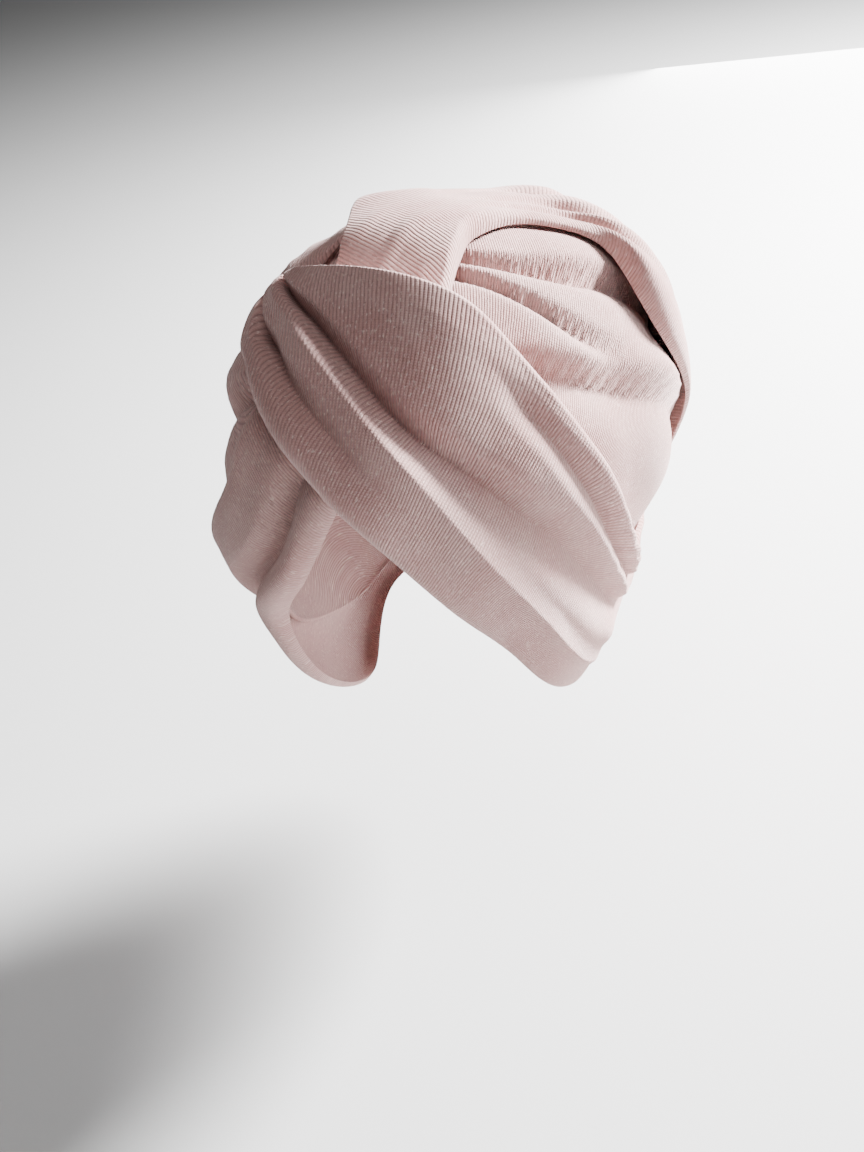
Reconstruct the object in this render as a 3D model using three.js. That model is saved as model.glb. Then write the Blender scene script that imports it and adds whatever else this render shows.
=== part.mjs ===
// A knitted turban headwrap in the form that it has when worn.
// Millimetres, +Z up. The wearer looks along -Y and the wearer's left is +X.
// Each piece is a sheet of cloth laid over the pieces below it. Directions are measured
// from the middle of the head at brow height, as [turn, height] in degrees: turn 0 is
// straight ahead, 90 the wearer's left, 180 the back, and height 90 is straight up.
import * as THREE from 'three';

// The head that the wrap is worn on
const HEAD_WIDTH = 154;
const HEAD_LENGTH = 196;
const BROW_TO_TOP = 98;
const BROW_TO_CHIN = 118;
const BROW_TO_NAPE = 78;

// The full, soft form of the crown
const CROWN_WIDTH = 182;
const CROWN_LENGTH = 260;
const CROWN_HEIGHT = 214;
const CROWN_BACK = 17;
const CROWN_UP = 26;

// The cloth, the gap between its layers and the height of its folds
const CLOTH = 2.4;
const LAYER_GAP = 0.5;
const FOLD_RISE = 12;

// How far the crown stands off the head near its rim, and how far the pieces over the crown
// stand off the same form where they run past it
const RIM_EASE = 5;
const UNDERLAY = CLOTH + LAYER_GAP;

// The tightest that a piece bends over the edges and folds below it, as a radius
const SMALLEST_BEND = 50;

// How a piece is pulled tight and then settled on the cloth below it. Points of that cloth
// are taken at the spread shares of each cell, and those are near whose directions have a
// cosine above SETTLED_NEAR. Between them the cloth below is taken to bend by SETTLED_BEND.
const PULLING_PASSES = 4;
const SETTLED_BEND = 12;
const SETTLED_NEAR = 0.97;
const SETTLING_PASSES = 3;
const SPREAD_SHARES = [0, 1 / 3, 2 / 3, 1];

// How matt the cloth is
const KNIT_ROUGHNESS = 0.92;

// Heights between which the crown's form draws in to the head, in degrees
const DRAWN_IN_BELOW = -40;
const FULL_ABOVE = 50;

// Where the face's depth below the brow turns into the nape's, as the backward part of a
// unit vector
const FACE_ENDS = -0.2;
const NAPE_STARTS = 0.6;

// The pieces from the head outwards. Station columns: at, share of the piece's length;
// low, high and middle, directions of its two edges and of the line between them; lift,
// share of FOLD_RISE that the cloth stands up by. Fold columns, each a list that is spaced
// evenly from the piece's start to its end: across, where the fold lies from the low edge
// (0) to the high edge (1); rise, share of FOLD_RISE; width, share of the piece's width on
// the fold's low side. Then lean, the width on its high side for each width on its low
// side, and sharp, creased or round.
const PIECES = [
  {
    name: 'crown',
    colour: 0xb39893,
    cells: [39, 28],
    rolled: [0.02, 0.02],
    stations: [
      { at: 0.0, low: [22, 38], middle: [13, 41], high: [4, 38], lift: 0.1 },
      { at: 0.15, low: [37, 14], middle: [4, 66], high: [-14, 14], lift: 0.4 },
      { at: 0.3, low: [55, -16], middle: [10, 80], high: [-34, -18], lift: 0.6 },
      { at: 0.45, low: [82, -38], middle: [120, 82], high: [-72, -42], lift: 0.7 },
      { at: 0.65, low: [108, -40], middle: [172, 62], high: [-106, -42], lift: 0.5 },
      { at: 0.85, low: [136, -38], middle: [178, 22], high: [-138, -38], lift: 0.3 },
      { at: 1.0, low: [160, -36], middle: [180, -36], high: [-160, -36], lift: 0.3 },
    ],
    folds: [
      {
        across: [0],
        rise: [-0.1, -0.35, -0.55, -0.6, -0.5, -0.3, -0.1, 0, 0],
        width: [0.6, 0.6, 0.42, 0.32, 0.24, 0.16, 0.1, 0.05, 0.05], lean: 1, sharp: false,
      },
      {
        across: [1],
        rise: [-0.1, -0.35, -0.55, -0.55, -0.45, -0.3, -0.1, 0, 0],
        width: [0.4, 0.3, 0.22, 0.16, 0.15, 0.13, 0.1, 0.1, 0.1], lean: 1, sharp: false,
      },
      {
        across: [0.24],
        rise: [0, 0, 0, 0, 0.2, 0.6, 0.6, 0.2, 0],
        width: [0.14], lean: 1, sharp: false,
      },
      {
        across: [0.3, 0.28, 0.26, 0.24, 0.2, 0.165, 0.145, 0.13, 0.12],
        rise: [0, 0, -0.3, -0.9, -1.0, -0.9, -0.5, -0.3, -0.1],
        width: [0.05], lean: 0.25, sharp: true,
      },
      {
        across: [0.2, 0.2, 0.2, 0.2, 0.19, 0.16, 0.14, 0.12, 0.1],
        rise: [0, 0, 0, 0, 0.4, 1.2, 1.0, 0.3, 0],
        width: [0.09], lean: 0.6, sharp: false,
      },
      {
        across: [0.5, 0.5, 0.47, 0.38, 0.23, 0.2, 0.19, 0.19, 0.19],
        rise: [0, 0, -0.3, -0.7, -0.5, 0, 0, 0, 0],
        width: [0.045], lean: 0.3, sharp: true,
      },
      {
        across: [0.5, 0.5, 0.5, 0.45, 0.33, 0.25, 0.225, 0.21, 0.2],
        rise: [0, 0, -0.3, -0.8, -1.0, -0.8, -0.4, -0.2, 0],
        width: [0.05], lean: 0.25, sharp: true,
      },
      {
        across: [0.7, 0.74, 0.785, 0.825, 0.845, 0.855, 0.86, 0.86, 0.86],
        rise: [-0.3, -0.8, -0.95, -0.8, -0.6, -0.4, -0.3, -0.2, -0.1],
        width: [0.035], lean: 1, sharp: true,
      },
      {
        across: [0.66, 0.67, 0.7, 0.74, 0.775, 0.79, 0.79, 0.79, 0.79],
        rise: [-0.2, -0.5, -0.7, -0.8, -0.7, -0.5, -0.4, -0.3, -0.1],
        width: [0.04], lean: 1, sharp: true,
      },
      {
        across: [0.6, 0.6, 0.61, 0.65, 0.69, 0.71, 0.72, 0.72, 0.72],
        rise: [-0.1, -0.3, -0.7, -0.7, -0.6, -0.5, -0.4, -0.3, -0.1],
        width: [0.04, 0.05, 0.06, 0.06, 0.05, 0.04, 0.04, 0.04, 0.04], lean: 1, sharp: true,
      },
      {
        across: [0.72, 0.75, 0.775, 0.79, 0.8, 0.81, 0.81, 0.81, 0.81],
        rise: [0, 0.4, 0.5, 0.4, 0.2, 0, 0, 0, 0],
        width: [0.05], lean: 1, sharp: false,
      },
    ],
  },
  {
    name: 'knot_turn',
    colour: 0xbfa49f,
    cells: [20, 12],
    rolled: [0.5, 0.5],
    stations: [
      { at: 0.0, low: [-46, 66], high: [-34, 73], lift: 0 },
      { at: 0.25, low: [-60, 63], high: [-50, 75], lift: 0.35 },
      { at: 0.5, low: [-84, 64], high: [-82, 77], lift: 0.35 },
      { at: 0.75, low: [-116, 66], high: [-122, 78], lift: 0.25 },
      { at: 1.0, low: [-150, 66], high: [-168, 75], lift: 0 },
    ],
    folds: [],
  },
  {
    name: 'over_crown_band',
    colour: 0xc9b0aa,
    cells: [28, 16],
    rolled: [0.07, 0.05],
    stations: [
      { at: 0.0, low: [38, 56], high: [-8, 64], lift: 0.1 },
      { at: 0.12, low: [60, 67.5], high: [-9, 76], lift: 0.5 },
      { at: 0.25, low: [82, 73], high: [-42, 83], lift: 0.8 },
      { at: 0.4, low: [114, 73.5], high: [-118, 79], lift: 0.65 },
      { at: 0.55, low: [139, 61], high: [-146, 68], lift: 0.2 },
      { at: 0.64, low: [138, 50], high: [-155, 52], lift: 0.25 },
      { at: 0.73, low: [124, 40], high: [-160, 38], lift: 0.85 },
      { at: 0.8, low: [124, 28], high: [-163, 22], lift: 0.65 },
      { at: 0.88, low: [136, 4], high: [-165, 0], lift: 0.2 },
      { at: 1.0, low: [152, -32], high: [-166, -32], lift: 0.1 },
    ],
    folds: [
      {
        across: [0.12, 0.12, 0.12, 0.14, 0.18, 0.2, 0.2], rise: [0, 0, 0, -0.1, -0.5, -0.9, -0.3],
        width: [0.09], lean: 0.5, sharp: true,
      },
      {
        across: [0.3, 0.3, 0.3, 0.3, 0.32, 0.34, 0.34], rise: [0, 0, 0, -0.1, -0.5, -0.9, -0.3],
        width: [0.1], lean: 0.5, sharp: true,
      },
      {
        across: [0.5, 0.5, 0.5, 0.5, 0.52, 0.54, 0.54], rise: [0, 0, 0, 0, -0.4, -0.7, -0.3],
        width: [0.1], lean: 0.6, sharp: true,
      },
    ],
  },
  {
    name: 'right_front_wrap',
    colour: 0xa98f8a,
    cells: [26, 12],
    rolled: [0.12, 0.14],
    stations: [
      { at: 0.0, low: [24, 44], high: [2, 58], lift: 0.2 },
      { at: 0.12, low: [13, 32], high: [-10, 48], lift: 0.65 },
      { at: 0.3, low: [2, 17], high: [-20, 32], lift: 0.8 },
      { at: 0.45, low: [-12, 0], high: [-38, 16], lift: 0.7 },
      { at: 0.6, low: [-24, -34], high: [-58, 2], lift: 0.6 },
      { at: 0.72, low: [-48, -56], high: [-80, -10], lift: 0.6 },
      { at: 0.85, low: [-105, -48], high: [-118, -14], lift: 0.4 },
      { at: 0.93, low: [-145, -42], high: [-150, -16], lift: 0.2 },
      { at: 1.0, low: [170, -38], high: [170, -18], lift: 0.1 },
    ],
    folds: [
      {
        across: [0.4, 0.3, 0.4, 0.45, 0.5],
        rise: [-0.2, -0.9, -1.1, -0.8, -0.5],
        width: [0.2], lean: 1, sharp: true,
      },
    ],
  },
  {
    name: 'left_front_wrap',
    colour: 0xa68782,
    cells: [32, 20],
    rolled: [0.08, 0.06],
    stations: [
      { at: 0.0, low: [-23, 71], high: [-18, 73], lift: 0.35 },
      { at: 0.06, low: [-31, 67], high: [-14, 72], lift: 0.8 },
      { at: 0.11, low: [-30, 62], high: [-5, 71.5], lift: 1.05 },
      { at: 0.15, low: [-22, 57], high: [10, 72], lift: 1.1 },
      { at: 0.2, low: [-11, 53.5], high: [30, 71], lift: 1.1 },
      { at: 0.3, low: [3, 44.5], high: [61, 61.5], lift: 1.15 },
      { at: 0.4, low: [15, 35], high: [70, 51], lift: 1.2 },
      { at: 0.5, low: [24, 25.5], high: [74.5, 42.5], lift: 1.2 },
      { at: 0.6, low: [35, 7], high: [79.5, 30], lift: 1.15 },
      { at: 0.7, low: [45.5, -12], high: [85.5, 14], lift: 1.05 },
      { at: 0.8, low: [61, -40], high: [95.5, -5], lift: 0.9 },
      { at: 0.88, low: [86, -51], high: [108, -18], lift: 0.45 },
      { at: 0.94, low: [126, -46], high: [138, -20], lift: 0.2 },
      { at: 1.0, low: [-172, -40], high: [-172, -17], lift: 0.15 },
    ],
    folds: [
      {
        across: [0.3, 0.27, 0.2, 0.19, 0.18, 0.15, 0.1, 0.1, 0.1],
        rise: [-0.3, -1.0, -0.9, -0.5, -0.15, 0, 0, 0, 0],
        width: [0.1], lean: 1, sharp: true,
      },
      {
        across: [0.8, 0.66, 0.49, 0.43, 0.49, 0.6, 0.64, 0.6, 0.55],
        rise: [-0.1, -0.9, -1.15, -1.2, -1.2, -1.1, -0.85, -0.5, -0.3],
        width: [0.08, 0.08, 0.1, 0.12, 0.18, 0.25, 0.26, 0.2, 0.2], lean: 0.6, sharp: true,
      },
      {
        across: [0.6, 0.52, 0.38, 0.33, 0.3, 0.29, 0.26, 0.25, 0.25],
        rise: [0, 0.1, 0.2, 0.3, 0.35, 0.35, 0.25, 0.1, 0],
        width: [0.1], lean: 1, sharp: true,
      },
      {
        across: [0.85, 0.82, 0.82, 0.83, 0.84, 0.86, 0.86, 0.8, 0.75],
        rise: [0, 0, 0, 0, -0.35, -0.7, -0.7, -0.4, -0.2],
        width: [0.12], lean: 0.6, sharp: true,
      },
    ],
  },
];

const clamp = (x) => Math.min(Math.max(x, 0), 1);

function ease(from, to, x) {
  const t = clamp((x - from) / (to - from));
  return t * t * (3 - 2 * t);
}

// The direction [turn, height] as a unit vector
function unit([turn, height]) {
  const across = THREE.MathUtils.degToRad(turn);
  const up = THREE.MathUtils.degToRad(height);
  return [Math.sin(across) * Math.cos(up), -Math.cos(across) * Math.cos(up), Math.sin(up)];
}

// Distance from the middle of the head to its skin
function headRadius(d) {
  const below = BROW_TO_CHIN + (BROW_TO_NAPE - BROW_TO_CHIN) * ease(FACE_ENDS, NAPE_STARTS, d.y);
  const reach = d.z >= 0 ? BROW_TO_TOP : below;
  return 1 / Math.hypot(d.x / (HEAD_WIDTH / 2), d.y / (HEAD_LENGTH / 2), d.z / reach);
}

// Distance from the middle of the head to the full form, an ellipsoid set back and up
function fullRadius(d) {
  const half = [CROWN_WIDTH / 2, CROWN_LENGTH / 2, CROWN_HEIGHT / 2];
  const ray = new THREE.Vector3(d.x / half[0], d.y / half[1], d.z / half[2]);
  const start = new THREE.Vector3(0, -CROWN_BACK / half[1], -CROWN_UP / half[2]);
  const a = ray.dot(ray);
  const b = ray.dot(start);
  return (Math.sqrt(b * b - a * (start.dot(start) - 1)) - b) / a;
}

// The crown's form: full at the top and drawn in to the head near the rim
function formRadius(d) {
  const drawn = headRadius(d) + RIM_EASE;
  const height = THREE.MathUtils.radToDeg(Math.asin(THREE.MathUtils.clamp(d.z, -1, 1)));
  const fullness = ease(DRAWN_IN_BELOW, FULL_ABOVE, height);
  return drawn + (Math.max(fullRadius(d), drawn) - drawn) * fullness;
}

// A smooth curve through the rows (arrays of numbers) at the given shares
function through(shares, rows, at) {
  const last = shares.length - 1;
  const slope = (i, k) => (rows[i + 1][k] - rows[i][k]) / (shares[i + 1] - shares[i]);
  const tangent = (i, k) => {
    if (i === 0) return slope(0, k);
    if (i === last) return slope(last - 1, k);
    const before = shares[i] - shares[i - 1];
    const after = shares[i + 1] - shares[i];
    return (slope(i - 1, k) * after + slope(i, k) * before) / (before + after);
  };
  let i = 0;
  while (i < last - 1 && at >= shares[i + 1]) i += 1;
  const span = shares[i + 1] - shares[i];
  const t = clamp((at - shares[i]) / span);
  return rows[i].map((value, k) => (1 + 2 * t) * (1 - t) ** 2 * value
    + t * (1 - t) ** 2 * span * tangent(i, k)
    + t * t * (3 - 2 * t) * rows[i + 1][k]
    + t * t * (t - 1) * span * tangent(i + 1, k));
}

function evenly(values, at) {
  if (values.length === 1) return values[0];
  const shares = values.map((_, i) => i / (values.length - 1));
  return through(shares, values.map((value) => [value]), at)[0];
}

// The direction of a point of a piece, along and across its cloth
function direction(piece, along, across) {
  const shares = piece.stations.map((row) => row.at);
  const edge = (column) => {
    const rows = piece.stations.map((row) => unit(row[column]));
    return new THREE.Vector3(...through(shares, rows, along)).normalize();
  };
  const low = edge('low');
  const high = edge('high');
  if (piece.stations[0].middle) {
    const middle = edge('middle');
    return low.multiplyScalar((1 - across) * (1 - 2 * across))
      .addScaledVector(middle, 4 * across * (1 - across))
      .addScaledVector(high, across * (2 * across - 1))
      .normalize();
  }
  const angle = low.angleTo(high);
  return low.multiplyScalar(Math.sin((1 - across) * angle))
    .addScaledVector(high, Math.sin(across * angle))
    .normalize();
}

// How far a point of a piece stands above what lies below it
function relief(piece, along, across) {
  const shares = piece.stations.map((row) => row.at);
  let share = through(shares, piece.stations.map((row) => [row.lift]), along)[0];
  for (const fold of piece.folds) {
    const offset = across - evenly(fold.across, along);
    const lowWidth = evenly(fold.width, along);
    const width = offset < 0 ? lowWidth : lowWidth * fold.lean;
    const x = clamp(Math.abs(offset) / width);
    const shape = fold.sharp ? (1 - x) ** 2 * (1 + 0.6 * x) : (1 - x * x) ** 2;
    share += evenly(fold.rise, along) * shape;
  }
  const roll = (x) => Math.sqrt(1 - (1 - clamp(x)) ** 2);
  return FOLD_RISE * share * roll(across / piece.rolled[0]) * roll((1 - across) / piece.rolled[1]);
}

// How far out the cloth laid so far reaches in a direction. A sheet stretched over it
// bends no tighter than the given bend, so hollows narrower than that are bridged.
function reachOver(d, laid, bend) {
  let reach = formRadius(d) + (laid.length > 0 ? UNDERLAY : 0);
  for (const point of laid) {
    const drop = point.radius * point.radius * (1 - d.dot(point.direction)) / bend;
    reach = Math.max(reach, point.radius - drop);
  }
  return reach;
}

// The cells of a grid, each as the places of its four corners
function cellsOf([columns, rows]) {
  const cells = [];
  for (let i = 0; i < columns; i += 1) {
    for (let j = 0; j < rows; j += 1) {
      const a = i * (rows + 1) + j;
      cells.push([a, a + rows + 1, a + 1, a + rows + 2]);
    }
  }
  return cells;
}

// Points spread over the two triangles of a cell
function spreadOver(corners, grid) {
  const points = [];
  for (const s of SPREAD_SHARES) {
    for (const t of SPREAD_SHARES) {
      const near = s + t <= 1;
      const start = grid[near ? corners[0] : corners[3]];
      const first = grid[near ? corners[1] : corners[2]];
      const second = grid[near ? corners[2] : corners[1]];
      const point = start.clone()
        .addScaledVector(first.clone().sub(start), near ? s : 1 - s)
        .addScaledVector(second.clone().sub(start), near ? t : 1 - t);
      const radius = point.length();
      points.push({ direction: point.divideScalar(radius), radius });
    }
  }
  return points;
}

// Moves the inner radii of a piece out until its faces clear the cloth below them
function settle(cells, directions, radii, laid) {
  for (const corners of cellsOf(cells)) {
    const near = laid.filter((point) => point.direction.dot(directions[corners[0]]) > SETTLED_NEAR);
    for (let pass = 0; pass < SETTLING_PASSES; pass += 1) {
      const inner = [];
      corners.forEach((k) => { inner[k] = directions[k].clone().multiplyScalar(radii[k]); });
      const shortfalls = spreadOver(corners, inner).map((point) => (
        reachOver(point.direction, near, SETTLED_BEND) + LAYER_GAP - point.radius));
      const lift = Math.max(0, ...shortfalls);
      corners.forEach((k) => { radii[k] += lift; });
    }
  }
}

// Pulls a piece tight over what it touches: each point moves out to the mean of its
// neighbours along and across the cloth, and never in
function pullTight([columns, rows], reach) {
  let tight = reach;
  for (let pass = 0; pass < PULLING_PASSES; pass += 1) {
    const last = tight;
    tight = last.map((radius, k) => {
      const i = Math.floor(k / (rows + 1));
      const j = k % (rows + 1);
      const along = i > 0 && i < columns ? [last[k - rows - 1], last[k + rows + 1]] : [];
      const across = j > 0 && j < rows ? [last[k - 1], last[k + 1]] : [];
      const near = [...along, ...across];
      const mean = near.length > 0 ? near.reduce((sum, x) => sum + x, 0) / near.length : radius;
      return Math.max(reach[k], mean);
    });
  }
  return tight;
}

// Outer and inner points of a piece on an even grid along and across it
function layPiece(piece, laid) {
  const [columns, rows] = piece.cells;
  const directions = [];
  const reliefs = [];
  for (let i = 0; i <= columns; i += 1) {
    for (let j = 0; j <= rows; j += 1) {
      directions.push(direction(piece, i / columns, j / rows));
      reliefs.push(Math.max(relief(piece, i / columns, j / rows), 0));
    }
  }
  const reach = directions.map((d) => reachOver(d, laid, SMALLEST_BEND) + LAYER_GAP);
  const tight = laid.length > 0 ? pullTight(piece.cells, reach) : reach;
  const radii = tight.map((radius, k) => radius + reliefs[k]);
  settle(piece.cells, directions, radii, laid);
  return {
    outer: directions.map((d, k) => d.clone().multiplyScalar(radii[k] + CLOTH)),
    inner: directions.map((d, k) => d.clone().multiplyScalar(radii[k])),
  };
}

// Triangles of one face of the grid, turned over where asked
function gridTriangles(cells, first, turned) {
  return cellsOf(cells).flatMap((corners) => {
    const [a, b, c, d] = corners.map((k) => first + k);
    return turned ? [a, c, b, b, c, d] : [a, b, c, b, d, c];
  });
}

// The grid points round the piece's border, in order
function border([columns, rows]) {
  const index = (i, j) => i * (rows + 1) + j;
  const loop = [];
  for (let i = 0; i < columns; i += 1) loop.push(index(i, 0));
  for (let j = 0; j < rows; j += 1) loop.push(index(columns, j));
  for (let i = columns; i > 0; i -= 1) loop.push(index(i, rows));
  for (let j = rows; j > 0; j -= 1) loop.push(index(0, j));
  return loop;
}

// The closed shell between a piece's outer and inner points
function shell(piece, outer, inner) {
  const [columns, rows] = piece.cells;
  const middle = Math.floor(columns / 2) * (rows + 1) + Math.floor(rows / 2);
  const alongStep = outer[middle + rows + 1].clone().sub(outer[middle]);
  const acrossStep = outer[middle + 1].clone().sub(outer[middle]);
  const turned = alongStep.cross(acrossStep).dot(outer[middle]) < 0;
  const indices = [
    ...gridTriangles(piece.cells, 0, turned),
    ...gridTriangles(piece.cells, outer.length, !turned),
  ];
  const loop = border(piece.cells);
  loop.forEach((a, k) => {
    const b = loop[(k + 1) % loop.length];
    const quad = [a, a + outer.length, b, b, a + outer.length, b + outer.length];
    indices.push(...(turned ? quad.reverse() : quad));
  });
  const geometry = new THREE.BufferGeometry();
  geometry.setFromPoints([...outer, ...inner]);
  geometry.setIndex(indices);
  geometry.computeVertexNormals();
  return geometry;
}

function knit(colour) {
  return new THREE.MeshStandardMaterial({ color: colour, roughness: KNIT_ROUGHNESS, metalness: 0 });
}

const turban = new THREE.Group();
const laid = [];
for (const piece of PIECES) {
  const { outer, inner } = layPiece(piece, laid);
  const mesh = new THREE.Mesh(shell(piece, outer, inner), knit(piece.colour));
  mesh.name = piece.name;
  turban.add(mesh);
  laid.push(...cellsOf(piece.cells).flatMap((corners) => spreadOver(corners, outer)));
}

// The origin is the inside of the crown straight above the middle of the head
const upward = new THREE.Raycaster(new THREE.Vector3(), new THREE.Vector3(0, 0, 1));
const crown = turban.getObjectByName('crown');
turban.position.z = -upward.intersectObject(crown)[0].distance;

export default turban;
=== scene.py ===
import math
from collections import namedtuple

import bpy
import numpy as np
from mathutils import Matrix, Vector


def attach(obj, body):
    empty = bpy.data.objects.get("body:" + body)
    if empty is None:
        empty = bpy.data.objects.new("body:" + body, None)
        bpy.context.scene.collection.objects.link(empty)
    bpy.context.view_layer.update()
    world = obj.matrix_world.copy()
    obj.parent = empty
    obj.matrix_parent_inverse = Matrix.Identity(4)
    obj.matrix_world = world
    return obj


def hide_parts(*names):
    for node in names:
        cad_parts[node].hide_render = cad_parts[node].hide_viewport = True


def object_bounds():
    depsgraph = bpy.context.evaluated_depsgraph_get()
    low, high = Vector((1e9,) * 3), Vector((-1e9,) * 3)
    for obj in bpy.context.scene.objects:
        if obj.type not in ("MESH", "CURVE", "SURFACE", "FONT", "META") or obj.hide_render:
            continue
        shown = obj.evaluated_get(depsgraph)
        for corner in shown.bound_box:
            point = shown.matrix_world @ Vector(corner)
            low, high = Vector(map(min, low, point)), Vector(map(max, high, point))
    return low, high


# The knitted turban headwrap in the form that it has when worn. Metres, +Z up. The wearer
# looks along -Y and the wearer's left is +X. Each piece is a sheet of cloth laid over the
# pieces below it, and directions are [turn, height] in degrees from the middle of the head
# at brow height: turn 0 is straight ahead, 90 the wearer's left, and height 90 straight up.
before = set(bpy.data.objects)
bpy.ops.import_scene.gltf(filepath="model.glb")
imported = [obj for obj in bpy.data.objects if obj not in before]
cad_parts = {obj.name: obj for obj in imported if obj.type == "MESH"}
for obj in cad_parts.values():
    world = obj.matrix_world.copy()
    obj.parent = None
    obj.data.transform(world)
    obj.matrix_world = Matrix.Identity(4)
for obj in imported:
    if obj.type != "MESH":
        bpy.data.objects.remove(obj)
frame_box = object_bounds()

MM = 0.001

# The head that the wrap is worn on
HEAD_WIDTH = 154 * MM
HEAD_LENGTH = 196 * MM
BROW_TO_TOP = 98 * MM
BROW_TO_CHIN = 118 * MM
BROW_TO_NAPE = 78 * MM

# Where the face's depth below the brow turns into the nape's, as the backward part of a
# unit vector
FACE_ENDS = -0.2
NAPE_STARTS = 0.6

# The full, soft form of the crown
CROWN_WIDTH = 182 * MM
CROWN_LENGTH = 260 * MM
CROWN_HEIGHT = 214 * MM
CROWN_BACK = 17 * MM
CROWN_UP = 26 * MM

# Heights between which the crown's form draws in to the head, in degrees
DRAWN_IN_BELOW = -40
FULL_ABOVE = 50

# The cloth, the gap between its layers and the height of its folds
CLOTH = 2.4 * MM
LAYER_GAP = 0.5 * MM
FOLD_RISE = 12 * MM

# How far the crown stands off the head near its rim, how far the pieces over the crown
# stand off the same form where they run past it, and the tightest that a piece bends over
# the edges and folds below it, as a radius
RIM_EASE = 5 * MM
UNDERLAY = CLOTH + LAYER_GAP
SMALLEST_BEND = 50 * MM

# Columns: at, share of the piece's length; low, high and middle, directions of its two
# edges and of the line between them; lift, share of FOLD_RISE that the cloth stands up by
Station = namedtuple("Station", "at low high lift middle", defaults=[None])
# Columns, each list spaced evenly along the piece: across, where the fold lies from the low
# edge (0) to the high edge (1); rise, share of FOLD_RISE; width, share of the piece's width
# on the fold's low side; lean, the high side's width for each low one; sharp, creased
Fold = namedtuple("Fold", "across rise width lean sharp")
Piece = namedtuple("Piece", "name rolled stations folds")

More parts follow.
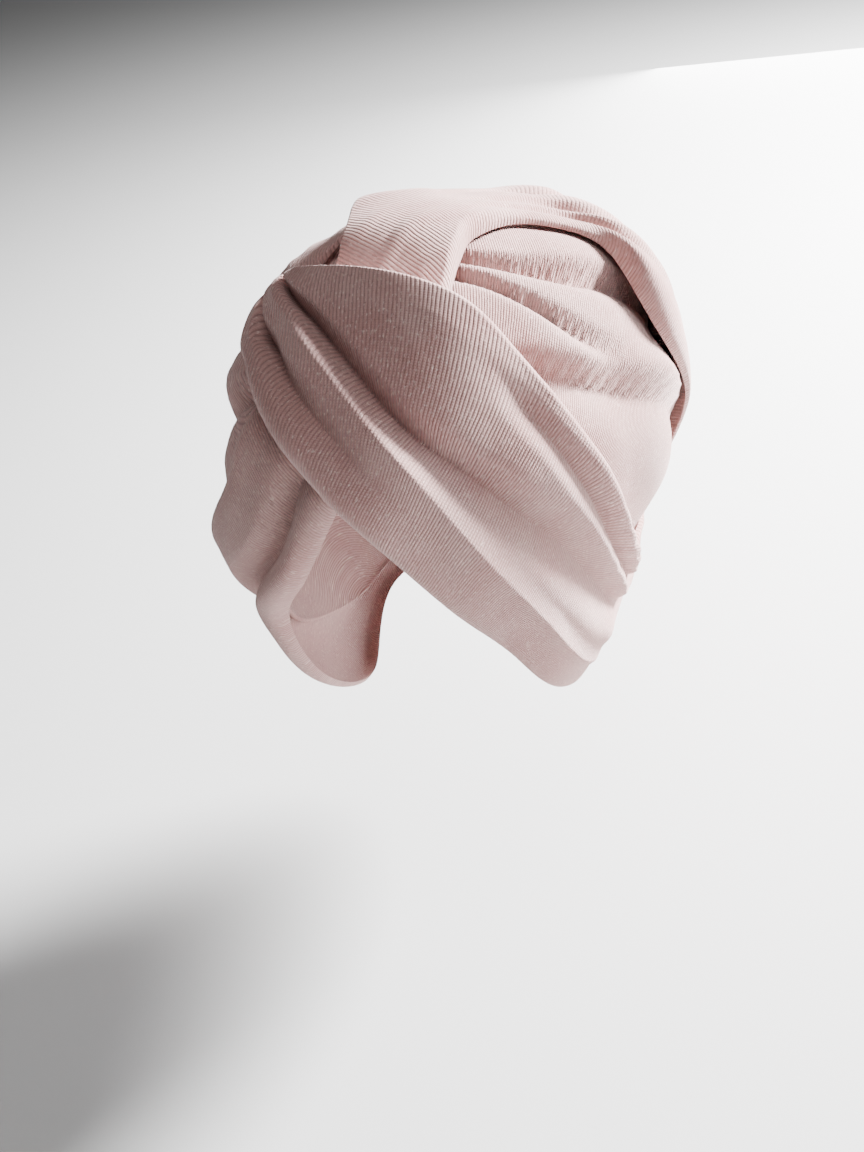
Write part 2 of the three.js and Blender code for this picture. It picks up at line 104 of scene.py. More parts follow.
PIECES = [
    Piece(
        name="crown",
        rolled=(0.02, 0.02),
        stations=[
            Station(0.0, (22, 38), (4, 38), 0.1, middle=(13, 41)),
            Station(0.15, (37, 14), (-14, 14), 0.4, middle=(4, 66)),
            Station(0.3, (55, -16), (-34, -18), 0.6, middle=(10, 80)),
            Station(0.45, (82, -38), (-72, -42), 0.7, middle=(120, 82)),
            Station(0.65, (108, -40), (-106, -42), 0.5, middle=(172, 62)),
            Station(0.85, (136, -38), (-138, -38), 0.3, middle=(178, 22)),
            Station(1.0, (160, -36), (-160, -36), 0.3, middle=(180, -36)),
        ],
        folds=[
            Fold(
                across=[0],
                rise=[-0.1, -0.35, -0.55, -0.6, -0.5, -0.3, -0.1, 0, 0],
                width=[0.6, 0.6, 0.42, 0.32, 0.24, 0.16, 0.1, 0.05, 0.05], lean=1, sharp=False,
            ),
            Fold(
                across=[1],
                rise=[-0.1, -0.35, -0.55, -0.55, -0.45, -0.3, -0.1, 0, 0],
                width=[0.4, 0.3, 0.22, 0.16, 0.15, 0.13, 0.1, 0.1, 0.1], lean=1, sharp=False,
            ),
            Fold(
                across=[0.24],
                rise=[0, 0, 0, 0, 0.2, 0.6, 0.6, 0.2, 0],
                width=[0.14], lean=1, sharp=False,
            ),
            Fold(
                across=[0.3, 0.28, 0.26, 0.24, 0.2, 0.165, 0.145, 0.13, 0.12],
                rise=[0, 0, -0.3, -0.9, -1.0, -0.9, -0.5, -0.3, -0.1],
                width=[0.05], lean=0.25, sharp=True,
            ),
            Fold(
                across=[0.2, 0.2, 0.2, 0.2, 0.19, 0.16, 0.14, 0.12, 0.1],
                rise=[0, 0, 0, 0, 0.4, 1.2, 1.0, 0.3, 0],
                width=[0.09], lean=0.6, sharp=False,
            ),
            Fold(
                across=[0.5, 0.5, 0.47, 0.38, 0.23, 0.2, 0.19, 0.19, 0.19],
                rise=[0, 0, -0.3, -0.7, -0.5, 0, 0, 0, 0],
                width=[0.045], lean=0.3, sharp=True,
            ),
            Fold(
                across=[0.5, 0.5, 0.5, 0.45, 0.33, 0.25, 0.225, 0.21, 0.2],
                rise=[0, 0, -0.3, -0.8, -1.0, -0.8, -0.4, -0.2, 0],
                width=[0.05], lean=0.25, sharp=True,
            ),
            Fold(
                across=[0.7, 0.74, 0.785, 0.825, 0.845, 0.855, 0.86, 0.86, 0.86],
                rise=[-0.3, -0.8, -0.95, -0.8, -0.6, -0.4, -0.3, -0.2, -0.1],
                width=[0.035], lean=1, sharp=True,
            ),
            Fold(
                across=[0.66, 0.67, 0.7, 0.74, 0.775, 0.79, 0.79, 0.79, 0.79],
                rise=[-0.2, -0.5, -0.7, -0.8, -0.7, -0.5, -0.4, -0.3, -0.1],
                width=[0.04], lean=1, sharp=True,
            ),
            Fold(
                across=[0.6, 0.6, 0.61, 0.65, 0.69, 0.71, 0.72, 0.72, 0.72],
                rise=[-0.1, -0.3, -0.7, -0.7, -0.6, -0.5, -0.4, -0.3, -0.1],
                width=[0.04, 0.05, 0.06, 0.06, 0.05, 0.04, 0.04, 0.04, 0.04], lean=1, sharp=True,
            ),
            Fold(
                across=[0.72, 0.75, 0.775, 0.79, 0.8, 0.81, 0.81, 0.81, 0.81],
                rise=[0, 0.4, 0.5, 0.4, 0.2, 0, 0, 0, 0],
                width=[0.05], lean=1, sharp=False,
            ),
        ],
    ),
    Piece(
        name="knot_turn",
        rolled=(0.5, 0.5),
        stations=[
            Station(0.0, (-46, 66), (-34, 73), 0),
            Station(0.25, (-60, 63), (-50, 75), 0.35),
            Station(0.5, (-84, 64), (-82, 77), 0.35),
            Station(0.75, (-116, 66), (-122, 78), 0.25),
            Station(1.0, (-150, 66), (-168, 75), 0),
        ],
        folds=[],
    ),
    Piece(
        name="over_crown_band",
        rolled=(0.07, 0.05),
        stations=[
            Station(0.0, (38, 56), (-8, 64), 0.1),
            Station(0.12, (60, 67.5), (-9, 76), 0.5),
            Station(0.25, (82, 73), (-42, 83), 0.8),
            Station(0.4, (114, 73.5), (-118, 79), 0.65),
            Station(0.55, (139, 61), (-146, 68), 0.2),
            Station(0.64, (138, 50), (-155, 52), 0.25),
            Station(0.73, (124, 40), (-160, 38), 0.85),
            Station(0.8, (124, 28), (-163, 22), 0.65),
            Station(0.88, (136, 4), (-165, 0), 0.2),
            Station(1.0, (152, -32), (-166, -32), 0.1),
        ],
        folds=[
            Fold(
                across=[0.12, 0.12, 0.12, 0.14, 0.18, 0.2, 0.2],
                rise=[0, 0, 0, -0.1, -0.5, -0.9, -0.3],
                width=[0.09], lean=0.5, sharp=True,
            ),
            Fold(
                across=[0.3, 0.3, 0.3, 0.3, 0.32, 0.34, 0.34],
                rise=[0, 0, 0, -0.1, -0.5, -0.9, -0.3],
                width=[0.1], lean=0.5, sharp=True,
            ),
            Fold(
                across=[0.5, 0.5, 0.5, 0.5, 0.52, 0.54, 0.54],
                rise=[0, 0, 0, 0, -0.4, -0.7, -0.3],
                width=[0.1], lean=0.6, sharp=True,
            ),
        ],
    ),
    Piece(
        name="right_front_wrap",
        rolled=(0.12, 0.14),
        stations=[
            Station(0.0, (24, 44), (2, 58), 0.2),
            Station(0.12, (13, 32), (-10, 48), 0.65),
            Station(0.3, (2, 17), (-20, 32), 0.8),
            Station(0.45, (-12, 0), (-38, 16), 0.7),
            Station(0.6, (-24, -34), (-58, 2), 0.6),
            Station(0.72, (-48, -56), (-80, -10), 0.6),
            Station(0.85, (-105, -48), (-118, -14), 0.4),
            Station(0.93, (-145, -42), (-150, -16), 0.2),
            Station(1.0, (170, -38), (170, -18), 0.1),
        ],
        folds=[
            Fold(
                across=[0.4, 0.3, 0.4, 0.45, 0.5],
                rise=[-0.2, -0.9, -1.1, -0.8, -0.5],
                width=[0.2], lean=1, sharp=True,
            ),
        ],
    ),
    Piece(
        name="left_front_wrap",
        rolled=(0.08, 0.06),
        stations=[
            Station(0.0, (-23, 71), (-18, 73), 0.35),
            Station(0.06, (-31, 67), (-14, 72), 0.8),
            Station(0.11, (-30, 62), (-5, 71.5), 1.05),
            Station(0.15, (-22, 57), (10, 72), 1.1),
            Station(0.2, (-11, 53.5), (30, 71), 1.1),
            Station(0.3, (3, 44.5), (61, 61.5), 1.15),
            Station(0.4, (15, 35), (70, 51), 1.2),
            Station(0.5, (24, 25.5), (74.5, 42.5), 1.2),
            Station(0.6, (35, 7), (79.5, 30), 1.15),
            Station(0.7, (45.5, -12), (85.5, 14), 1.05),
            Station(0.8, (61, -40), (95.5, -5), 0.9),
            Station(0.88, (86, -51), (108, -18), 0.45),
            Station(0.94, (126, -46), (138, -20), 0.2),
            Station(1.0, (-172, -40), (-172, -17), 0.15),
        ],
        folds=[
            Fold(
                across=[0.3, 0.27, 0.2, 0.19, 0.18, 0.15, 0.1, 0.1, 0.1],
                rise=[-0.3, -1.0, -0.9, -0.5, -0.15, 0, 0, 0, 0],
                width=[0.1], lean=1, sharp=True,
            ),
            Fold(
                across=[0.8, 0.66, 0.49, 0.43, 0.49, 0.6, 0.64, 0.6, 0.55],
                rise=[-0.1, -0.9, -1.15, -1.2, -1.2, -1.1, -0.85, -0.5, -0.3],
                width=[0.08, 0.08, 0.1, 0.12, 0.18, 0.25, 0.26, 0.2, 0.2], lean=0.6, sharp=True,
            ),
            Fold(
                across=[0.6, 0.52, 0.38, 0.33, 0.3, 0.29, 0.26, 0.25, 0.25],
                rise=[0, 0.1, 0.2, 0.3, 0.35, 0.35, 0.25, 0.1, 0],
                width=[0.1], lean=1, sharp=True,
            ),
            Fold(
                across=[0.85, 0.82, 0.82, 0.83, 0.84, 0.86, 0.86, 0.8, 0.75],
                rise=[0, 0, 0, 0, -0.35, -0.7, -0.7, -0.4, -0.2],
                width=[0.12], lean=0.6, sharp=True,
            ),
        ],
    ),
]

# How many rays are compared with the cloth at a time, to spare memory
RAYS_AT_ONCE = 4000

# How a piece is pulled tight over the cloth below it. Behind the head its high edge then
# settles on that cloth: from where to where along and across it, and how tight it bends
PULLING_PASSES = 20
SETTLED_ALONG = (0.62, 0.8)
SETTLED_ACROSS = (0.45, 0.92)
EDGE_BEND = 12 * MM

# The cells that a piece is laid with at first, and how much closer together the finer
# cells of its cloth lie at its edges
LAID_CELLS = (88, 60)
CLOSER_AT_EDGES = 0.65

# A sheet's rim is rounded over this width, down to this share of the cloth's thickness
RIM_ROUND = 1.6 * MM
RIM_THIN = 0.12

# Soft undulations of worn cloth: their height, how many waves are mixed, the fewest and the
# most of them along and across a sheet, and the width at its rim where they fade
WAVE_HEIGHT = 0.5 * MM
WAVES_MIXED = 9
FEWEST_WAVES = (1.5, 0.5)
MOST_WAVES = (7.0, 4.0)
CALM_RIM = 12 * MM

# The colours of the heathered yarn, the dark one also serving as painted shade in the rib grooves
BASE = (0.50, 0.28, 0.26, 1)
PALE = (0.90, 0.69, 0.65, 1)
# The dark fibres' colour, and also the painted shade in the rib grooves
STREAK_AND_SHADE_DARK = (0.17, 0.09, 0.083, 1)

# The knit's ribs and loops: how finely and how far the ribs wander, how full they are, one
# loop's length, how its two legs slant, and the loops' height as a share of the ribs'
RIB_WANDER = (160, 60, 0)
RIB_SWAY = 0.7 * MM
RIB_FULLNESS = 0.7
LOOP_LENGTH = 1.1 * MM
LOOP_SLANT = 1.1
LOOP_SHARE = 0.35

# Mixed fibres. Columns: often, how often they come in a metre across and along the ribs;
# scale, of their noise; low and high, the noise values between which they come to show;
# share, how strongly they colour the cloth
Fibres = namedtuple("Fibres", "often scale low high share")
PALE_FIBRES = Fibres((1500, 420, 0), 1.0, 0.56, 0.74, 0.62)
DARK_FIBRES = Fibres((1100, 300, 0), 1.3, 0.55, 0.72, 0.42)

# Detail and roughness of the fibres' noise; scale, detail and roughness of the slow drift
# of tone, where it shows and how strongly; and how much painted shade darkens the grooves
FIBRE_NOISE = (2.0, 0.6)
DRIFT_NOISE = (22.0, 3.0, 0.55)
DRIFT_SEEN = (0.35, 0.68)
DRIFT_SHARE = 0.2
GROOVE_SHADE_SHARE = 0.55

# How matt and how fuzzy the cloth is, and how far its ribs and flecks stand up
KNIT_SHADER = {
    "Roughness": 0.95,
    "Specular IOR Level": 0.22,
    "Sheen Weight": 0.35,
    "Sheen Roughness": 0.45,
    "Sheen Tint": (1.0, 0.9, 0.88, 1),
}
BUMP_STRENGTH = 0.7
BUMP_HEIGHT = 0.45 * MM
FLECK_SHARE = 0.35

# The finish of each piece. Columns: material; slot, its entry in the record; rib_width, of
# one rib; rib_lean, how far the ribs lean back from straight across the piece, in degrees,
# spaced evenly along it; cells, along and across its cloth; flat, the width and length
# that it was cut to; held, how it lies, and rests_on, what it lies on
Finish = namedtuple("Finish", "material slot rib_width rib_lean cells flat held rests_on")
FINISHES = {
    "crown": Finish(
        material="crown_knit", slot="crown_knit",
        rib_width=1.15 * MM, rib_lean=[-15, -25, -45, -55, -55, -55], cells=(210, 170),
        flat=(0.45, 0.38), held="gathered", rests_on=["knot_turn"],
    ),
    "knot_turn": Finish(
        material="knot_knit", slot="wrap_knit",
        rib_width=1.3 * MM, rib_lean=[70], cells=(90, 60),
        flat=(0.036, 0.11), held="folded", rests_on=["crown"],
    ),
    "over_crown_band": Finish(
        material="band_knit", slot="band_knit",
        rib_width=1.8 * MM, rib_lean=[-25], cells=(220, 110),
        flat=(0.17, 0.34), held="draped", rests_on=["crown"],
    ),
    "right_front_wrap": Finish(
        material="right_wrap_knit", slot="wrap_knit",
        rib_width=1.3 * MM, rib_lean=[10], cells=(200, 90),
        flat=(0.09, 0.42), held="draped", rests_on=["crown"],
    ),
    "left_front_wrap": Finish(
        material="left_wrap_knit", slot="wrap_knit",
        rib_width=1.3 * MM, rib_lean=[40, 42, 46, 42, 34, 22, 6, -20, -60, -70, -70],
        cells=(260, 140),
        flat=(0.09, 0.45), held="draped", rests_on=["crown", "right_front_wrap"],
    ),
}

# The floor: how far it lies below the part, how far it reaches each way, and its paper
FLOOR_BELOW = 0.10
FLOOR_REACH = 6.0
FLOOR_GREY = (0.72, 0.72, 0.72, 1)
FLOOR_ROUGHNESS = 0.9

# The camera's place round the middle of the head, and where that is in the picture
CAMERA_TURN = 40.0
CAMERA_HEIGHT = 31.8
CAMERA_ROLL = 13.5
CAMERA_DISTANCE = 0.620
FOCAL_PIXELS = 1200
IMAGE_SIZE = (864, 1152)
MIDDLE_PIXEL = (450, 504)
SENSOR = 36.0

# The light from all round, and the lamps. Columns: aside, above and toward, metres from the
# middle of the head to the camera's right, upwards and towards it; size across; power, watts
WORLD_STRENGTH = 0.09
Light = namedtuple("Light", "name aside above toward size power")
LIGHTS = [
    Light("key", 1.08, 1.1, -0.06, 0.45, 280),
    Light("back", 0.6, 0.9, -1.0, 0.8, 36),
    Light("fill", -0.1, 1.1, 1.2, 1.0, 9),
]


def ease(start, end, x):
    t = np.clip((x - start) / (end - start), 0, 1)
    return t * t * (3 - 2 * t)


def unit(turn, height):
    """The direction [turn, height] as a unit vector."""
    a, e = math.radians(turn), math.radians(height)
    return np.array([math.sin(a) * math.cos(e), -math.cos(a) * math.cos(e), math.sin(e)])


def norm(v):
    return v / np.linalg.norm(v, axis=-1, keepdims=True)


def head_radius(d):
    """Distance from the middle of the head to its skin, in direction d."""
    nape = ease(FACE_ENDS, NAPE_STARTS, d[..., 1])
    below = BROW_TO_CHIN + (BROW_TO_NAPE - BROW_TO_CHIN) * nape
    reach = np.where(d[..., 2] >= 0, BROW_TO_TOP, below)
    x, y, z = d[..., 0] / (HEAD_WIDTH / 2), d[..., 1] / (HEAD_LENGTH / 2), d[..., 2] / reach
    return 1 / np.sqrt(x * x + y * y + z * z)


def full_radius(d):
    """Distance to the full form, an ellipsoid set back and up."""
    half = np.array([CROWN_WIDTH, CROWN_LENGTH, CROWN_HEIGHT]) / 2
    ray = d / half
    start = np.array([0, -CROWN_BACK, -CROWN_UP]) / half
    a = (ray * ray).sum(-1)
    b = (ray * start).sum(-1)
    return (np.sqrt(b * b - a * ((start * start).sum() - 1)) - b) / a


def form_radius(d):
    """The crown's form: full at the top and drawn in to the head near the rim."""
    drawn = head_radius(d) + RIM_EASE
    height = np.degrees(np.arcsin(np.clip(d[..., 2], -1, 1)))
    fullness = ease(DRAWN_IN_BELOW, FULL_ABOVE, height)
    return drawn + (np.maximum(full_radius(d), drawn) - drawn) * fullness


def through(shares, rows, at):
    """A smooth curve through the rows at the given shares."""
    shares, rows = np.asarray(shares, float), np.asarray(rows, float)
    rows = rows.reshape(len(shares), -1)
    gaps = np.diff(shares)[:, None]
    slopes = np.diff(rows, axis=0) / gaps
    tangents = np.empty_like(rows)
    tangents[0], tangents[-1] = slopes[0], slopes[-1]
    tangents[1:-1] = (slopes[:-1] * gaps[1:] + slopes[1:] * gaps[:-1]) / (gaps[1:] + gaps[:-1])
    k = np.clip(np.searchsorted(shares, at, side="right") - 1, 0, len(shares) - 2)
    gap = (shares[k + 1] - shares[k])[..., None]
    t = np.clip((at - shares[k])[..., None] / gap, 0, 1)
    return (
        (1 + 2 * t) * (1 - t) ** 2 * rows[k]
        + t * (1 - t) ** 2 * gap * tangents[k]
        + t * t * (3 - 2 * t) * rows[k + 1]
        + t * t * (t - 1) * gap * tangents[k + 1]
    )


def evenly(values, at):
    """A smooth curve through values that are spaced evenly from 0 to 1."""
    if len(values) == 1:
        return np.full(np.shape(at), float(values[0]))
    return through(np.linspace(0, 1, len(values)), values, at)[..., 0]


def direction(piece, along, across):
    """Unit vectors of points of a piece, along and across its cloth."""
    shares = [row.at for row in piece.stations]

    def edge(column):
        return norm(through(shares, [unit(*getattr(row, column)) for row in piece.stations], along))

    low, high, v = edge("low"), edge("high"), across[..., None]
    if piece.stations[0].middle:
        middle = edge("middle")
        return norm(low * (1 - v) * (1 - 2 * v) + middle * 4 * v * (1 - v) + high * v * (2 * v - 1))
    angle = np.arccos(np.clip((low * high).sum(-1), -1, 1))[..., None]
    return norm(np.sin((1 - v) * angle) * low + np.sin(v * angle) * high)


def roll(x):
    return np.sqrt(1 - (1 - np.clip(x, 0, 1)) ** 2)


def relief(piece, along, across):
    """How far points of a piece stand above what lies below them."""
    shares = [row.at for row in piece.stations]
    share = through(shares, [row.lift for row in piece.stations], along)[..., 0]
    for fold in piece.folds:
        offset = across - evenly(fold.across, along)
        low_width = evenly(fold.width, along)
        width = np.where(offset < 0, low_width, low_width * fold.lean)
        x = np.clip(np.abs(offset) / width, 0, 1)
        shape = (1 - x) ** 2 * (1 + 0.6 * x) if fold.sharp else (1 - x * x) ** 2
        share = share + evenly(fold.rise, along) * shape
    rolled = roll(across / piece.rolled[0]) * roll((1 - across) / piece.rolled[1])
    return np.maximum(FOLD_RISE * share * rolled, 0)


def reach_over(d, laid, bend=SMALLEST_BEND):
    """How far out the cloth laid so far reaches. A sheet stretched over it bends no
    tighter than the given bend, so hollows narrower than that are bridged."""
    reach = form_radius(d) + (UNDERLAY if laid else 0)
    flat = reach.reshape(-1)
    rays = d.reshape(-1, 3)
    for directions, radii in laid:
        drop = radii * radii / bend
        pull, rest = (directions * drop[:, None]).T, radii - drop
        for first in range(0, len(rays), RAYS_AT_ONCE):
            part = slice(first, first + RAYS_AT_ONCE)
            flat[part] = np.maximum(flat[part], (rays[part] @ pull + rest).max(1))
    return flat.reshape(d.shape[:-1])


def pull_tight(reach):
    """Points move out to the mean of their neighbours, and never in."""
    tight = reach
    for _ in range(PULLING_PASSES):
        total, count = np.zeros_like(tight), np.zeros_like(tight)
        total[1:-1] += tight[:-2] + tight[2:]
        count[1:-1] += 2
        total[:, 1:-1] += tight[:, :-2] + tight[:, 2:]
        count[:, 1:-1] += 2
        tight = np.maximum(reach, np.where(count > 0, total / np.maximum(count, 1), tight))
    return tight


def settle_edge(d, along, across, laid, base):
    """Brings a piece's high edge down onto the cloth below it, behind the head."""
    close = np.minimum(reach_over(d, laid, EDGE_BEND) + LAYER_GAP, base)
    share = ease(*SETTLED_ALONG, along) * ease(*SETTLED_ACROSS, across)
    return base + (close - base) * share


def places(cells, closer=0.0):
    """Shares along and across a sheet, closer together at its edges where asked."""
    def shares(count):
        t = np.linspace(0, 1, count + 1)
        return t - closer * np.sin(2 * math.pi * t) / (2 * math.pi)

    return np.meshgrid(shares(cells[0]), shares(cells[1]), indexing="ij")


def finer(rows, along, across):
    """The values of an even grid at finer places, smooth both ways."""
    by_row = through(np.linspace(0, 1, rows.shape[0]), rows, along[:, 0])
    return through(np.linspace(0, 1, rows.shape[1]), by_row.T, across[0]).T


def rim_distance(points):
    """Distance along the cloth from each point to the nearest edge."""
    def run(steps, axis):
        start = np.zeros_like(steps.take([0], axis))
        there = np.concatenate([start, np.cumsum(steps, axis)], axis)
        return np.minimum(there, there.take([-1], axis) - there)

    long_way = run(np.linalg.norm(np.diff(points, axis=0), axis=-1), 0)
    wide_way = run(np.linalg.norm(np.diff(points, axis=1), axis=-1), 1)
    return np.minimum(long_way, wide_way)


def undulation(piece, along, across):
    """Slow, shallow waves, another set for each piece."""
    draw = np.random.default_rng(sum(map(ord, piece.name)))
    height = np.zeros_like(along)
    for _ in range(WAVES_MIXED):
        waves = draw.uniform(FEWEST_WAVES, MOST_WAVES)
        start = draw.uniform(0, 2 * math.pi)
        height += np.sin(2 * math.pi * (waves[0] * along + waves[1] * across) + start)
    return WAVE_HEIGHT * height / math.sqrt(WAVES_MIXED)


def lay(piece, laid):
    """How far out the inside of a piece lies without its folds. Its outside joins what is
    laid, as directions and how far out they reach."""
    along, across = places(LAID_CELLS)
    directions = direction(piece, along, across)
    base = reach_over(directions, laid) + LAYER_GAP
    if laid:
        base = settle_edge(directions, along, across, laid, pull_tight(base))
    top = base + relief(piece, along, across) + CLOTH
    laid.append((directions.reshape(-1, 3), top.reshape(-1)))
    return base


Surface = namedtuple("Surface", "inner outer unfolded along")


def surface(piece, laid):
    """The fine points of a piece's inside and outside and of its inside without folds, and
    their shares along it."""
    base = lay(piece, laid)
    along, across = places(FINISHES[piece.name].cells, CLOSER_AT_EDGES)
    directions = direction(piece, along, across)
    unfolded = finer(base, along, across)
    middle = unfolded + relief(piece, along, across)
    from_rim = rim_distance(directions * middle[..., None])
    thick = CLOTH * (RIM_THIN + (1 - RIM_THIN) * roll(from_rim / RIM_ROUND))
    lift = np.maximum(undulation(piece, along, across), 0) * ease(0, CALM_RIM, from_rim)
    inner = middle + (CLOTH - thick) / 2 + lift
    return Surface(*(directions * out[..., None] for out in (inner, inner + thick, unfolded)), along)


def knit_places(piece, made):
    """Metres across the ribs and along them at each point, kept even along the cloth."""
    points = made.unfolded
    centre = points[:, points.shape[1] // 2]
    steps = np.linalg.norm(np.diff(centre, axis=0), axis=-1)
    lean = np.radians(evenly(FINISHES[piece.name].rib_lean, made.along[:, 0]))
    between_rows = (lean[1:] + lean[:-1]) / 2
    ahead = np.concatenate([[0], np.cumsum(steps * np.cos(between_rows))])
    aside = np.concatenate([[0], np.cumsum(steps * np.sin(between_rows))])
    wide_steps = np.linalg.norm(np.diff(points, axis=1), axis=-1)
    width = np.concatenate([np.zeros((len(points), 1)), np.cumsum(wide_steps, 1)], 1)
    width -= width[:, [width.shape[1] // 2]]
    over_ribs = ahead[:, None] + np.sin(lean)[:, None] * width
    down_ribs = np.cos(lean)[:, None] * width - aside[:, None]
    return np.stack([over_ribs.ravel(), down_ribs.ravel()], 1)


def shell_faces(outer):
    """Faces of a closed shell: its outside, its inside and then its rim."""
    columns, rows = outer.shape[:2]
    count = columns * rows
    index = np.arange(count).reshape(columns, rows)
    a, b = index[:-1, :-1].ravel(), index[1:, :-1].ravel()
    c, d = index[1:, 1:].ravel(), index[:-1, 1:].ravel()
    outside = np.stack([a, b, c, d], 1)
    border = np.concatenate([index[:-1, 0], index[-1, :-1], index[:0:-1, -1], index[0, :0:-1]])
    after = np.roll(border, -1)
    rim = np.stack([border, border + count, after + count, after], 1)
    i, j = columns // 2, rows // 2
    facing = np.cross(outer[i + 1, j] - outer[i, j], outer[i, j + 1] - outer[i, j])
    if np.dot(facing, outer[i, j]) < 0:
        outside, rim = outside[:, ::-1], rim[:, ::-1]
    return np.concatenate([outside, outside[:, ::-1] + count, rim])


def cloth_mesh(piece, made, head_middle):
    """A closed shell between a piece's inside and outside, with the cloth's own UV map."""
    mesh = bpy.data.meshes.new(piece.name)
    points = np.concatenate([made.outer.reshape(-1, 3), made.inner.reshape(-1, 3)]) + head_middle
    mesh.from_pydata(points.tolist(), [], shell_faces(made.outer).tolist())
    mesh.shade_smooth()
    place = knit_places(piece, made)
    place = np.concatenate([place, place])
    corners = np.empty(len(mesh.loops), np.int64)
    mesh.loops.foreach_get("vertex_index", corners)
    mesh.uv_layers.new(name="cloth").uv.foreach_set("vector", place[corners].ravel())
    return mesh


def node_group(name, inputs, outputs):
    """An empty shader group: inputs as (name, socket type, value), outputs as (name, type)."""
    tree = bpy.data.node_groups.new(name, "ShaderNodeTree")
    for label, kind, value in inputs:
        socket = tree.interface.new_socket(label, in_out="INPUT", socket_type=kind)
        if value is not None:
            socket.default_value = value
    for label, kind in outputs:
        tree.interface.new_socket(label, in_out="OUTPUT", socket_type=kind)
    return tree, tree.nodes.new("NodeGroupInput"), tree.nodes.new("NodeGroupOutput")


def math_node(tree, operation, *values):
    node = tree.nodes.new("ShaderNodeMath")
    node.operation = operation
    for socket, value in zip(node.inputs, values):
        if isinstance(value, (int, float)):
            socket.default_value = value
        else:
            tree.links.new(value, socket)
    return node.outputs[0]


def noise(tree, vector, scale, detail, roughness):
    node = tree.nodes.new("ShaderNodeTexNoise")
    node.inputs["Scale"].default_value = scale
    node.inputs["Detail"].default_value = detail
    node.inputs["Roughness"].default_value = roughness
    tree.links.new(vector, node.inputs["Vector"])
    return node.outputs["Fac"]


def between(tree, value, low, high):
    """0 where the value is at low or under, 1 at high or over, and smooth between them."""
    node = tree.nodes.new("ShaderNodeMapRange")
    node.interpolation_type = "SMOOTHSTEP"
    node.inputs["From Min"].default_value = low
    node.inputs["From Max"].default_value = high
    tree.links.new(value, node.inputs["Value"])
    return node.outputs["Result"]


def stretched(tree, vector, scale):
    node = tree.nodes.new("ShaderNodeMapping")
    node.inputs["Scale"].default_value = scale
    tree.links.new(vector, node.inputs["Vector"])
    return node.outputs["Vector"]


def mix_colours(tree, mask, share, first, second):
    """The first colour, with this share of the second where the mask is full."""
    node = tree.nodes.new("ShaderNodeMix")
    node.data_type = "RGBA"
    first_in, second_in = [socket for socket in node.inputs if socket.type == "RGBA"]
    tree.links.new(math_node(tree, "MULTIPLY", mask, share), node.inputs[0])
    tree.links.new(first, first_in)
    tree.links.new(second, second_in)
    return next(socket for socket in node.outputs if socket.type == "RGBA")


def rib_knit_group():
    """Fine ribs of knitted loops that run along Y of the given place, in metres."""
    tree, given, result = node_group(
        "rib_knit",
        [
            ("Place", "NodeSocketVector", None),
            ("Rib Width", "NodeSocketFloat", LOOP_LENGTH),
            ("Loop Length", "NodeSocketFloat", LOOP_LENGTH),
        ],
        [("Height", "NodeSocketFloat"), ("Groove", "NodeSocketFloat")],
    )
    place = given.outputs["Place"]
    apart = tree.nodes.new("ShaderNodeSeparateXYZ")
    tree.links.new(place, apart.inputs[0])
    wander = noise(tree, stretched(tree, place, RIB_WANDER), 1.0, 1.0, 0.5)
    sway = math_node(tree, "MULTIPLY", math_node(tree, "SUBTRACT", wander, 0.5), RIB_SWAY)
    swayed = math_node(tree, "ADD", apart.outputs["X"], sway)
    ribs = math_node(tree, "DIVIDE", swayed, given.outputs["Rib Width"])
    within = math_node(tree, "FRACT", ribs)
    over = math_node(tree, "ABSOLUTE", math_node(tree, "SUBTRACT", within, 0.5))
    arch = math_node(tree, "COSINE", math_node(tree, "MULTIPLY", over, math.pi))
    rib = math_node(tree, "POWER", arch, RIB_FULLNESS)
    slant = math_node(tree, "MULTIPLY", over, LOOP_SLANT)
    loops = math_node(tree, "DIVIDE", apart.outputs["Y"], given.outputs["Loop Length"])
    turn = math_node(tree, "MULTIPLY", math_node(tree, "ADD", loops, slant), 2 * math.pi)
    loop = math_node(tree, "MULTIPLY_ADD", math_node(tree, "SINE", turn), 0.5, 0.5)
    raised_loop = math_node(tree, "MULTIPLY", loop, rib)
    height = math_node(tree, "MULTIPLY_ADD", raised_loop, LOOP_SHARE, rib)
    tree.links.new(height, result.inputs["Height"])
    # The groove mask, used only to paint shade into the grooves between the ribs
    tree.links.new(math_node(tree, "SUBTRACT", 1.0, rib), result.inputs["Groove"])
    return tree


def fibres(tree, place, kind):
    """Where one kind of fibre shows, from 0 to 1."""
    spots = noise(tree, stretched(tree, place, kind.often), kind.scale, *FIBRE_NOISE)
    return between(tree, spots, kind.low, kind.high)


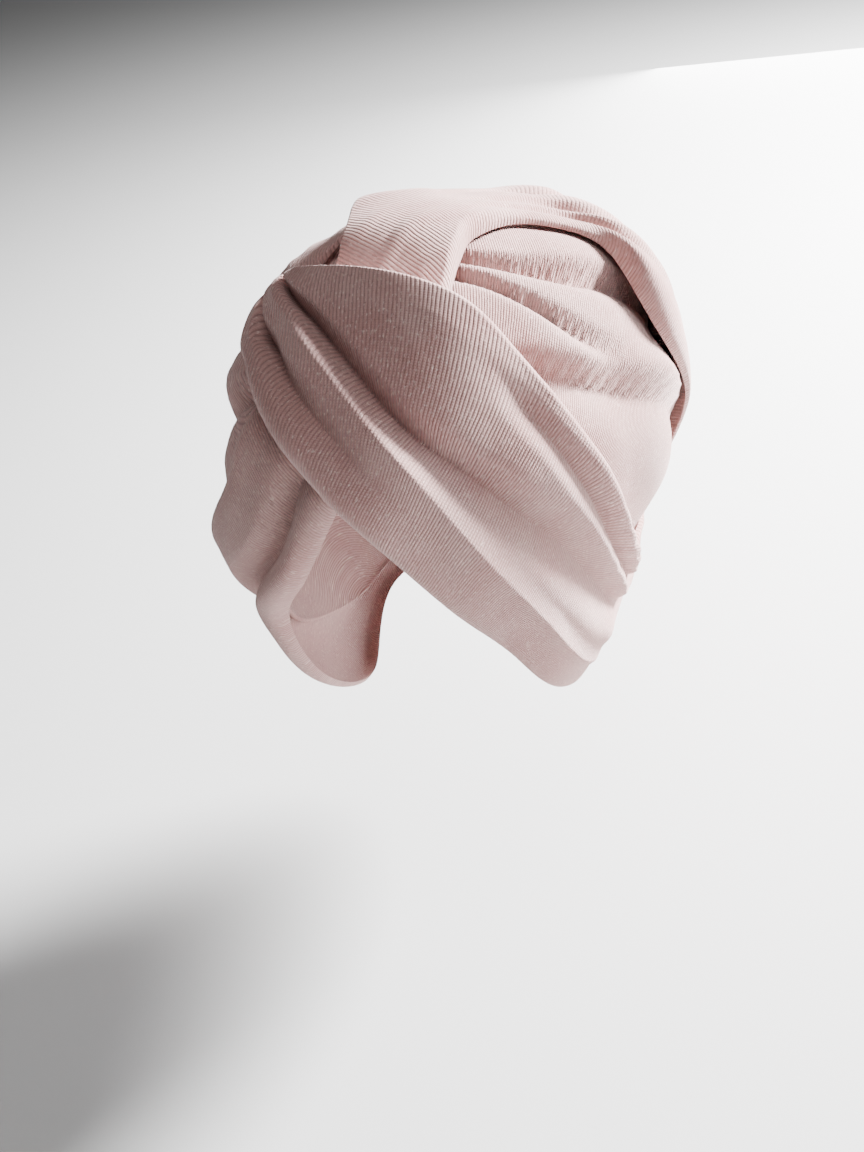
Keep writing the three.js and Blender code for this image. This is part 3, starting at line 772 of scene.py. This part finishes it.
def heather_group():
    """Mixed fibres: pale flecks, darker streaks and slow drifts of tone in a base colour, and painted
    shade in the rib grooves.
    """
    tree, given, result = node_group(
        "heather",
        [
            ("Place", "NodeSocketVector", None),
            ("Object Place", "NodeSocketVector", None),
            ("Base", "NodeSocketColor", BASE),
            ("Pale", "NodeSocketColor", PALE),
            ("Dark", "NodeSocketColor", STREAK_AND_SHADE_DARK),
            ("Groove", "NodeSocketFloat", 0.0),
        ],
        [("Color", "NodeSocketColor"), ("Fleck", "NodeSocketFloat")],
    )
    place = given.outputs["Place"]
    flecks = fibres(tree, place, PALE_FIBRES)
    streaks = fibres(tree, place, DARK_FIBRES)
    drift = between(tree, noise(tree, given.outputs["Object Place"], *DRIFT_NOISE), *DRIFT_SEEN)
    # The dark colour serves both the dark fibre streaks and the painted shade in the grooves
    base, pale, streak_and_shade_dark = (given.outputs[label] for label in ("Base", "Pale", "Dark"))
    tone = mix_colours(tree, drift, DRIFT_SHARE, base, pale)
    # Painted shade: the dark colour is mixed into the grooves between the ribs, where shade would fall
    tone = mix_colours(tree, given.outputs["Groove"], GROOVE_SHADE_SHARE, tone, streak_and_shade_dark)
    tone = mix_colours(tree, streaks, DARK_FIBRES.share, tone, streak_and_shade_dark)
    tone = mix_colours(tree, flecks, PALE_FIBRES.share, tone, pale)
    tree.links.new(tone, result.inputs["Color"])
    tree.links.new(flecks, result.inputs["Fleck"])
    return tree


def knit_material(name, rib_width, rib_knit, heather):
    """Heathered rib knit on the cloth's own places, with painted shade darkening its rib grooves."""
    material = bpy.data.materials.new(name)
    material.use_nodes = True
    tree = material.node_tree
    shader = tree.nodes["Principled BSDF"]
    for label, value in KNIT_SHADER.items():
        shader.inputs[label].default_value = value
    cloth = tree.nodes.new("ShaderNodeUVMap")
    cloth.uv_map = "cloth"
    knit = tree.nodes.new("ShaderNodeGroup")
    knit.node_tree = rib_knit
    knit.inputs["Rib Width"].default_value = rib_width
    knit.inputs["Loop Length"].default_value = LOOP_LENGTH
    tree.links.new(cloth.outputs["UV"], knit.inputs["Place"])
    mixed = tree.nodes.new("ShaderNodeGroup")
    mixed.node_tree = heather
    for label, colour in (("Base", BASE), ("Pale", PALE), ("Dark", STREAK_AND_SHADE_DARK)):
        mixed.inputs[label].default_value = colour
    tree.links.new(cloth.outputs["UV"], mixed.inputs["Place"])
    in_object = tree.nodes.new("ShaderNodeTexCoord").outputs["Object"]
    tree.links.new(in_object, mixed.inputs["Object Place"])
    # The groove mask carries the painted shade between the ribs into the colour
    tree.links.new(knit.outputs["Groove"], mixed.inputs["Groove"])
    tree.links.new(mixed.outputs["Color"], shader.inputs["Base Color"])
    bump = tree.nodes.new("ShaderNodeBump")
    bump.inputs["Strength"].default_value = BUMP_STRENGTH
    bump.inputs["Distance"].default_value = BUMP_HEIGHT
    raised = math_node(tree, "MULTIPLY_ADD", mixed.outputs["Fleck"], FLECK_SHARE, knit.outputs["Height"])
    tree.links.new(raised, bump.inputs["Height"])
    tree.links.new(bump.outputs["Normal"], shader.inputs["Normal"])
    return material


def lay_floor():
    height = frame_box[0][2] - FLOOR_BELOW
    sides = ((-1, -1), (1, -1), (1, 1), (-1, 1))
    corners = [(x * FLOOR_REACH, y * FLOOR_REACH, height) for x, y in sides]
    mesh = bpy.data.meshes.new("floor")
    mesh.from_pydata(corners, [], [(0, 1, 2, 3)])
    floor = bpy.data.objects.new("floor", mesh)
    bpy.context.scene.collection.objects.link(floor)
    material = bpy.data.materials.new("floor_paper")
    material.use_nodes = True
    shader = material.node_tree.nodes["Principled BSDF"]
    shader.inputs["Base Color"].default_value = FLOOR_GREY
    shader.inputs["Roughness"].default_value = FLOOR_ROUGHNESS
    mesh.materials.append(material)


def light_all_round():
    world = bpy.data.worlds.new("studio")
    bpy.context.scene.world = world
    world.use_nodes = True
    background = world.node_tree.nodes["Background"]
    background.inputs["Color"].default_value = (1, 1, 1, 1)
    background.inputs["Strength"].default_value = WORLD_STRENGTH


def camera_axes(middle):
    """The camera's place and its right, up and backward axes."""
    turn, height, tilt = (math.radians(x) for x in (CAMERA_TURN, CAMERA_HEIGHT, CAMERA_ROLL))
    level = Vector((math.cos(turn), math.sin(turn), 0))
    back = Vector((math.sin(turn), -math.cos(turn), 0)) * math.cos(height)
    back.z = math.sin(height)
    upright = back.cross(level)
    right = math.cos(tilt) * level - math.sin(tilt) * upright
    up = math.sin(tilt) * level + math.cos(tilt) * upright
    place = middle + back * CAMERA_DISTANCE
    aside = (MIDDLE_PIXEL[0] - IMAGE_SIZE[0] / 2) / FOCAL_PIXELS
    above = (IMAGE_SIZE[1] / 2 - MIDDLE_PIXEL[1]) / FOCAL_PIXELS
    back = (back + right * aside + up * above).normalized()
    right = (right - back * right.dot(back)).normalized()
    return place, right, back.cross(right), back


def place_camera(place, right, up, back):
    camera = bpy.data.objects.new("camera", bpy.data.cameras.new("camera"))
    bpy.context.scene.collection.objects.link(camera)
    camera.data.sensor_width = SENSOR
    camera.data.lens = SENSOR * FOCAL_PIXELS / max(IMAGE_SIZE)
    axes = Matrix((right, up, back)).transposed().to_4x4()
    camera.matrix_world = Matrix.Translation(place) @ axes
    bpy.context.scene.camera = camera


def place_light(light, middle, right, up, back):
    """A round soft light that faces the middle of the head."""
    data = bpy.data.lights.new(light.name, "AREA")
    data.shape = "DISK"
    data.size = light.size
    data.energy = light.power
    lamp = bpy.data.objects.new(light.name, data)
    bpy.context.scene.collection.objects.link(lamp)
    lamp.location = middle + right * light.aside + up * light.above + back * light.toward
    lamp.rotation_mode = "QUATERNION"
    lamp.rotation_quaternion = (lamp.location - middle).to_track_quat("Z", "Y")


laid = []
surfaces = {piece.name: surface(piece, laid) for piece in PIECES}

# The head's middle lies straight below the origin, which is the crown's inside
crown_inner = surfaces["crown"].inner.reshape(-1, 3)
overhead = np.argmax(norm(crown_inner)[:, 2])
head_middle = np.array([0, 0, -np.linalg.norm(crown_inner[overhead])])

rib_knit = rib_knit_group()
heather = heather_group()
for piece in PIECES:
    finish = FINISHES[piece.name]
    mesh = cloth_mesh(piece, surfaces[piece.name], head_middle)
    mesh.materials.append(knit_material(finish.material, finish.rib_width, rib_knit, heather))
    cloth = bpy.data.objects.new(f"{piece.name}_cloth", mesh)
    bpy.context.scene.collection.objects.link(cloth)
    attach(cloth, "root")
    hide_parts(piece.name)

lay_floor()
light_all_round()
place, *axes = camera_axes(Vector(head_middle))
place_camera(place, *axes)
for light in LIGHTS:
    place_light(light, Vector(head_middle), *axes)
